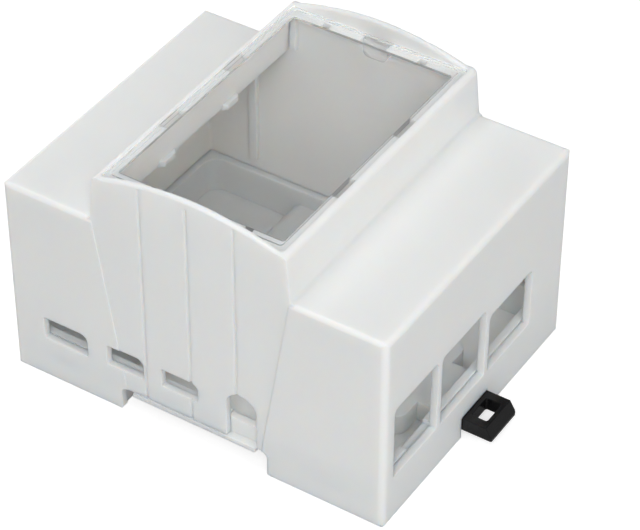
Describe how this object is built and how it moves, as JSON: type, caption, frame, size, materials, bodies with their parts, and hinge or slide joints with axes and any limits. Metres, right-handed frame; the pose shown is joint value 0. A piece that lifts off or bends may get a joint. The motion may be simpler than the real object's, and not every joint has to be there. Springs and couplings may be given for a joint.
{
  "type": "din rail enclosure",
  "caption": "Stepped DIN rail housing for a single-board computer, with arched side ridges, clear window in the crown, connector openings and a spring clip for the rail.",
  "frame": {"origin": "centre of the rail seat, on the face that lies on the rail flanges", "axes": "+X across the rail towards the end with the large connector openings and the clip, +Y along the rail away from the slotted side, +Z out of the rail towards the window"},
  "size_m": [0.0969, 0.071, 0.0626],
  "materials": {
    "housing": "satin",
    "tray": "satin",
    "window": "clear polished plastic",
    "clip": "satin"
  },
  "bodies": {
    "housing": {"cover": "housing", "base": "tray", "window_panel": "window"},
    "clip": {"rail_clip": "clip"}
  },
  "joints": [
    {"name": "rail_clip_slide", "type": "slide", "parent": "housing", "child": "clip", "axis": [1, 0, 0], "range_m": [0, 0.0025], "stiffness_N_per_m": 1500, "springref_m": -0.002}
  ]
}
